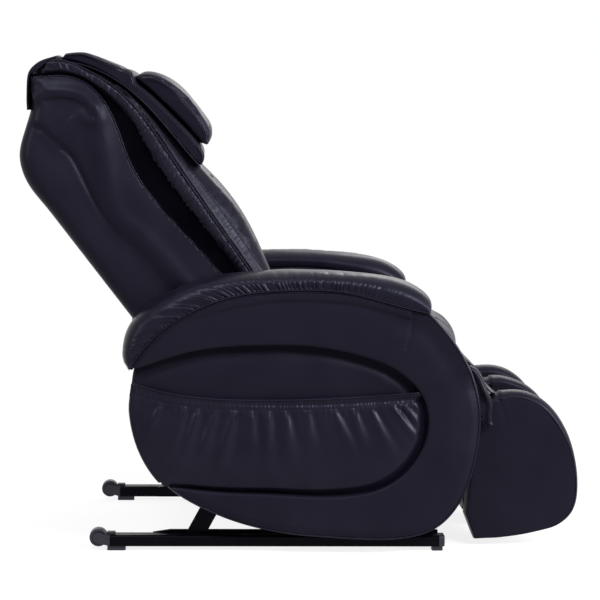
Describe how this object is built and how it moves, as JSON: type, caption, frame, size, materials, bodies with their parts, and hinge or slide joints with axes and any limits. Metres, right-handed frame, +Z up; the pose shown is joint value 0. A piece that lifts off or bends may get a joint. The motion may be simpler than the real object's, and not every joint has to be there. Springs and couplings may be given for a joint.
{
  "type": "massage chair",
  "caption": "Reclining massage chair: padded shell seat with head pillow, padded armrests, side pockets and lifting calf rest on a two-runner steel base with transport wheels.",
  "frame": {"origin": "on the floor under the middle of the chair's bounding box, backrest upright and calf rest down", "axes": "+X the way the sitter faces, +Y to the sitter's left, +Z up"},
  "size_m": [1.3184, 0.774, 1.1438],
  "materials": {
    "frame_steel": "satin black powder coat",
    "black_plastic": "fine texture",
    "wheel_plastic": "smooth",
    "actuator_paint": "satin",
    "rod_chrome": "polished",
    "switch_plastic": "smooth",
    "machined_steel": "machined",
    "roller_rubber": "matte",
    "plywood": "raw",
    "leather": "soft semi-gloss, blue-black"
  },
  "bodies": {
    "base": {"right_runner": "frame_steel", "right_rear_strut": "frame_steel", "right_front_upright": "frame_steel", "right_seat_rail": "frame_steel", "left_runner": "frame_steel", "left_rear_strut": "frame_steel", "left_front_upright": "frame_steel", "left_seat_rail": "frame_steel", "lower_cross_bar": "frame_steel", "rear_cross_bar": "frame_steel", "front_cross_bar": "frame_steel", "middle_cross_bar": "frame_steel", "footrest_hinge_rod": "frame_steel", "right_front_cap": "black_plastic", "right_wheel_housing": "black_plastic", "left_front_cap": "black_plastic", "left_wheel_housing": "black_plastic", "control_box": "black_plastic", "air_pump": "black_plastic", "power_inlet": "black_plastic", "recline_actuator_body": "actuator_paint", "footrest_actuator_body": "actuator_paint", "seat_pan": "plywood", "seat_cushion": "leather", "right_side_panel": "leather", "right_side_pocket": "leather", "right_armrest": "leather", "right_arm_inner_wall": "leather", "left_side_panel": "leather", "left_side_pocket": "leather", "left_armrest": "leather", "left_arm_inner_wall": "leather"},
    "right_wheel": {"right_transport_wheel": "wheel_plastic"},
    "left_wheel": {"left_transport_wheel": "wheel_plastic"},
    "recline_rod": {"recline_actuator_rod": "rod_chrome"},
    "footrest_rod": {"footrest_actuator_rod": "rod_chrome"},
    "power_rocker": {"power_switch": "switch_plastic"},
    "backrest": {"right_back_channel": "frame_steel", "left_back_channel": "frame_steel", "back_upper_bar": "frame_steel", "recline_lever": "frame_steel", "backrest_shell": "leather", "backrest_cushion": "leather", "right_side_gusset": "leather", "left_side_gusset": "leather", "head_flap_rear": "leather"},
    "carriage": {"massage_carriage": "machined_steel", "carriage_motor": "black_plastic"},
    "drive_shaft": {"carriage_drive_shaft": "machined_steel"},
    "head_rest": {"head_pad": "leather", "head_pillow": "leather"},
    "footrest": {"footrest_frame": "frame_steel", "footrest_back_pad": "leather", "right_calf_wall": "leather", "left_calf_wall": "leather", "calf_center_ridge": "leather"},
    "right_lower_roller": {"right_lower_massage_roller": "roller_rubber"},
    "right_upper_roller": {"right_upper_massage_roller": "roller_rubber"},
    "left_lower_roller": {"left_lower_massage_roller": "roller_rubber"},
    "left_upper_roller": {"left_upper_massage_roller": "roller_rubber"}
  },
  "joints": [
    {"name": "recline", "type": "hinge", "parent": "base", "child": "backrest", "pos_m": [-0.143, 0, 0.4], "axis": [0, -1, 0], "range_deg": [0, 50]},
    {"name": "recline_rod_slide", "type": "slide", "parent": "base", "child": "recline_rod", "axis": [1, 0, 0], "range_m": [0, 0.131]},
    {"name": "footrest_lift", "type": "hinge", "parent": "base", "child": "footrest", "pos_m": [0.402, 0, 0.392], "axis": [0, -1, 0], "range_deg": [0, 80]},
    {"name": "footrest_rod_slide", "type": "slide", "parent": "base", "child": "footrest_rod", "axis": [1, 0, 0], "range_m": [0, 0.1465]},
    {"name": "carriage_slide", "type": "slide", "parent": "backrest", "child": "carriage", "axis": [-0.6129, 0, 0.7902], "range_m": [0, 0.3]},
    {"name": "drive_shaft_spin", "type": "hinge", "parent": "carriage", "child": "drive_shaft", "pos_m": [-0.29445, 0, 0.61157], "axis": [0, -1, 0], "range_deg": [0, 860]},
    {"name": "head_pad_flip", "type": "hinge", "parent": "backrest", "child": "head_rest", "pos_m": [-0.571, 0, 1.139], "axis": [0, -1, 0], "range_deg": [0, 150]},
    {"name": "power_switch_rock", "type": "hinge", "parent": "base", "child": "power_rocker", "pos_m": [-0.19298, 0.027, 0.21], "axis": [0, 1, 0], "range_deg": [0, 10]},
    {"name": "right_wheel_spin", "type": "hinge", "parent": "base", "child": "right_wheel", "pos_m": [-0.47, -0.305, 0.0295], "axis": [0, 1, 0], "continuous": true},
    {"name": "right_lower_roller_spin", "type": "hinge", "parent": "carriage", "child": "right_lower_roller", "pos_m": [-0.21472, -0.063, 0.61646], "axis": [0, 1, 0], "continuous": true},
    {"name": "right_upper_roller_spin", "type": "hinge", "parent": "carriage", "child": "right_upper_roller", "pos_m": [-0.26988, -0.063, 0.68758], "axis": [0, 1, 0], "continuous": true},
    {"name": "left_wheel_spin", "type": "hinge", "parent": "base", "child": "left_wheel", "pos_m": [-0.47, 0.305, 0.0295], "axis": [0, 1, 0], "continuous": true},
    {"name": "left_lower_roller_spin", "type": "hinge", "parent": "carriage", "child": "left_lower_roller", "pos_m": [-0.21472, 0.063, 0.61646], "axis": [0, 1, 0], "continuous": true},
    {"name": "left_upper_roller_spin", "type": "hinge", "parent": "carriage", "child": "left_upper_roller", "pos_m": [-0.26988, 0.063, 0.68758], "axis": [0, 1, 0], "continuous": true}
  ],
  "couplings": [
    {"joint": "recline_rod_slide", "follows": "recline", "m_per_rad": 0.14962},
    {"joint": "footrest_rod_slide", "follows": "footrest_lift", "m_per_rad": 0.10457},
    {"joint": "drive_shaft_spin", "follows": "carriage_slide", "rad_per_m": 50}
  ]
}
